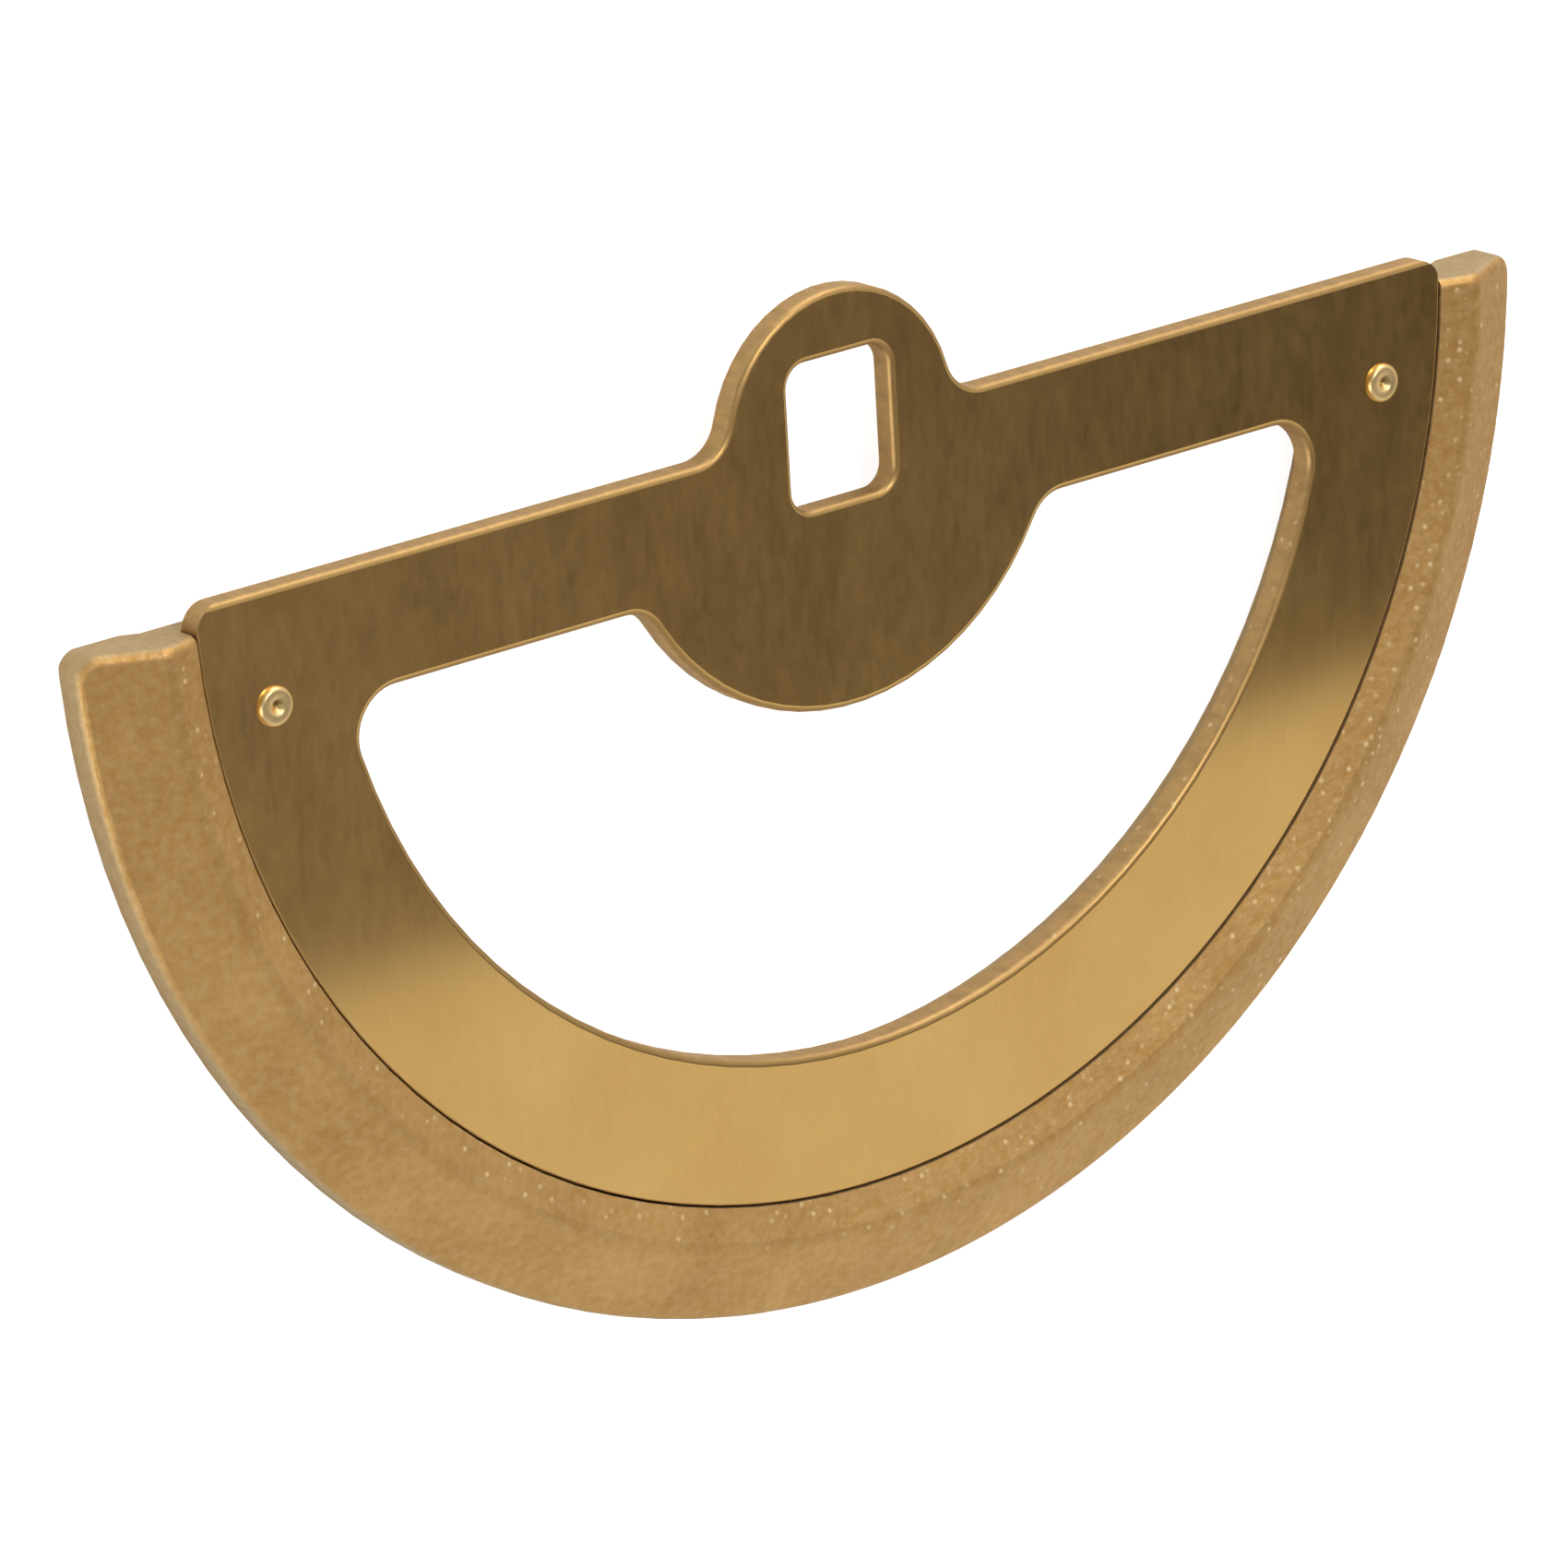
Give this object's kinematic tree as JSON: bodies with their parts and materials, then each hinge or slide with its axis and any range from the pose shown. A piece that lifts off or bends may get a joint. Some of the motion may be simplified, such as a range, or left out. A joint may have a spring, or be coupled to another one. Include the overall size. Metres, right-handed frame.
{
  "type": "automatic watch rotor",
  "caption": "Half-round oscillating weight of a self-winding watch: a thin brushed plate with hub and keyed centre hole, riveted to a heavy sandblasted rim segment.",
  "frame": {"origin": "on the rotation axis, the axis of the rim's arcs, at the plate's underside, which seats on the movement", "axes": "+Z along the rotation axis, away from the movement; X along the straight front edge; the heavy half hangs towards -Y"},
  "size_m": [0.0258, 0.0147, 0.001],
  "materials": {
    "brushed_plate": "gold-plated, fine straight brushing along Y on top",
    "sandblasted_weight": "gold-plated over heavy metal, fine sandblasted grain",
    "rivet": "gold-plated, polished dome"
  },
  "bodies": {
    "root": {"rotor_plate": "brushed_plate", "weight_segment": "sandblasted_weight", "rivet_left": "rivet", "rivet_right": "rivet"}
  },
  "joints": []
}
